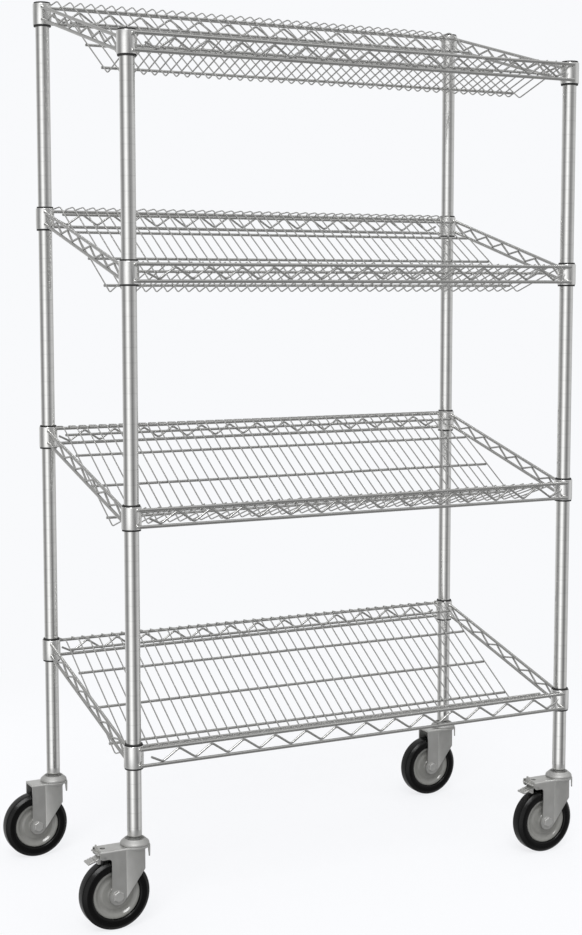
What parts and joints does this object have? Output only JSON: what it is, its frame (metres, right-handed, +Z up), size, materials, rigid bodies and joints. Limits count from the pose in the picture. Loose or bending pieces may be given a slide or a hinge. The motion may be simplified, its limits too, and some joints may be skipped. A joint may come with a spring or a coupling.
{
  "type": "bread rack",
  "caption": "Mobile wire bread rack: slanted chrome wire shelves with a front lip on round posts, with swivel casters and foot brakes.",
  "frame": {"origin": "centre of the footprint box on the floor, under the middle of the rack with all wheels trailing to -X", "axes": "+X along the shelves to the right, -Y to the low open front, +Z up"},
  "size_m": [1.0068, 0.471, 1.6038],
  "materials": {
    "post_chrome": "bright chrome plate",
    "collar_chrome": "bright chrome plate",
    "wire_chrome": "chrome plated wire, slightly satin",
    "black_plastic": "moulded, fine matt",
    "zinc_steel": "bright zinc plate, satin",
    "hub_plastic": "moulded grey, satin",
    "tyre_rubber": "smooth solid rubber"
  },
  "bodies": {
    "root": {"post_front_left": "post_chrome", "post_front_right": "post_chrome", "post_back_left": "post_chrome", "post_back_right": "post_chrome", "post_caps": "post_chrome", "caster_stem_front_left": "zinc_steel", "caster_stem_front_right": "zinc_steel", "caster_stem_back_left": "zinc_steel", "caster_stem_back_right": "zinc_steel", "sleeves_shelf_1": "black_plastic", "sleeves_shelf_2": "black_plastic", "sleeves_shelf_3": "black_plastic", "sleeves_shelf_4": "black_plastic"},
    "shelf_1": {"collars_shelf_1": "collar_chrome", "frame_wires_shelf_1": "wire_chrome", "lacing_shelf_1": "wire_chrome", "mat_shelf_1": "wire_chrome", "cross_wires_shelf_1": "wire_chrome"},
    "shelf_2": {"collars_shelf_2": "collar_chrome", "frame_wires_shelf_2": "wire_chrome", "lacing_shelf_2": "wire_chrome", "mat_shelf_2": "wire_chrome", "cross_wires_shelf_2": "wire_chrome"},
    "shelf_3": {"collars_shelf_3": "collar_chrome", "frame_wires_shelf_3": "wire_chrome", "lacing_shelf_3": "wire_chrome", "mat_shelf_3": "wire_chrome", "cross_wires_shelf_3": "wire_chrome"},
    "shelf_4": {"collars_shelf_4": "collar_chrome", "frame_wires_shelf_4": "wire_chrome", "lacing_shelf_4": "wire_chrome", "mat_shelf_4": "wire_chrome", "cross_wires_shelf_4": "wire_chrome"},
    "fork_front_left": {"fork_front_left": "zinc_steel", "axle_front_left": "zinc_steel", "brake_pin_front_left": "zinc_steel", "brake_plate_front_left": "zinc_steel"},
    "wheel_front_left": {"wheel_centre_front_left": "hub_plastic", "tyre_front_left": "tyre_rubber"},
    "brake_front_left": {"brake_pedal_front_left": "zinc_steel"},
    "fork_front_right": {"fork_front_right": "zinc_steel", "axle_front_right": "zinc_steel", "brake_pin_front_right": "zinc_steel", "brake_plate_front_right": "zinc_steel"},
    "wheel_front_right": {"wheel_centre_front_right": "hub_plastic", "tyre_front_right": "tyre_rubber"},
    "brake_front_right": {"brake_pedal_front_right": "zinc_steel"},
    "fork_back_left": {"fork_back_left": "zinc_steel", "axle_back_left": "zinc_steel"},
    "wheel_back_left": {"wheel_centre_back_left": "hub_plastic", "tyre_back_left": "tyre_rubber"},
    "fork_back_right": {"fork_back_right": "zinc_steel", "axle_back_right": "zinc_steel"},
    "wheel_back_right": {"wheel_centre_back_right": "hub_plastic", "tyre_back_right": "tyre_rubber"}
  },
  "joints": [
    {"name": "shelf_1_lift", "type": "slide", "parent": "root", "child": "shelf_1", "axis": [0, 0, 1], "range_m": [0, 0.345]},
    {"name": "shelf_2_lift", "type": "slide", "parent": "root", "child": "shelf_2", "axis": [0, 0, 1], "range_m": [0, 0.345]},
    {"name": "shelf_3_lift", "type": "slide", "parent": "root", "child": "shelf_3", "axis": [0, 0, 1], "range_m": [0, 0.33]},
    {"name": "shelf_4_lift", "type": "slide", "parent": "root", "child": "shelf_4", "axis": [0, 0, 1], "range_m": [0, 0.15]},
    {"name": "swivel_front_left", "type": "hinge", "parent": "root", "child": "fork_front_left", "pos_m": [-0.40435, -0.209, 0.1375], "axis": [0, 0, 1], "continuous": true},
    {"name": "roll_front_left", "type": "hinge", "parent": "fork_front_left", "child": "wheel_front_left", "pos_m": [-0.44235, -0.209, 0.061], "axis": [0, 1, 0], "continuous": true},
    {"name": "brake_front_left", "type": "hinge", "parent": "fork_front_left", "child": "brake_front_left", "pos_m": [-0.46535, -0.209, 0.1305], "axis": [0, -1, 0], "range_deg": [0, 13]},
    {"name": "swivel_front_right", "type": "hinge", "parent": "root", "child": "fork_front_right", "pos_m": [0.47685, -0.209, 0.1375], "axis": [0, 0, 1], "continuous": true},
    {"name": "roll_front_right", "type": "hinge", "parent": "fork_front_right", "child": "wheel_front_right", "pos_m": [0.43885, -0.209, 0.061], "axis": [0, 1, 0], "continuous": true},
    {"name": "brake_front_right", "type": "hinge", "parent": "fork_front_right", "child": "brake_front_right", "pos_m": [0.41585, -0.209, 0.1305], "axis": [0, -1, 0], "range_deg": [0, 13]},
    {"name": "swivel_back_left", "type": "hinge", "parent": "root", "child": "fork_back_left", "pos_m": [-0.40435, 0.209, 0.1375], "axis": [0, 0, 1], "continuous": true},
    {"name": "roll_back_left", "type": "hinge", "parent": "fork_back_left", "child": "wheel_back_left", "pos_m": [-0.44235, 0.209, 0.061], "axis": [0, 1, 0], "continuous": true},
    {"name": "swivel_back_right", "type": "hinge", "parent": "root", "child": "fork_back_right", "pos_m": [0.47685, 0.209, 0.1375], "axis": [0, 0, 1], "continuous": true},
    {"name": "roll_back_right", "type": "hinge", "parent": "fork_back_right", "child": "wheel_back_right", "pos_m": [0.43885, 0.209, 0.061], "axis": [0, 1, 0], "continuous": true}
  ]
}
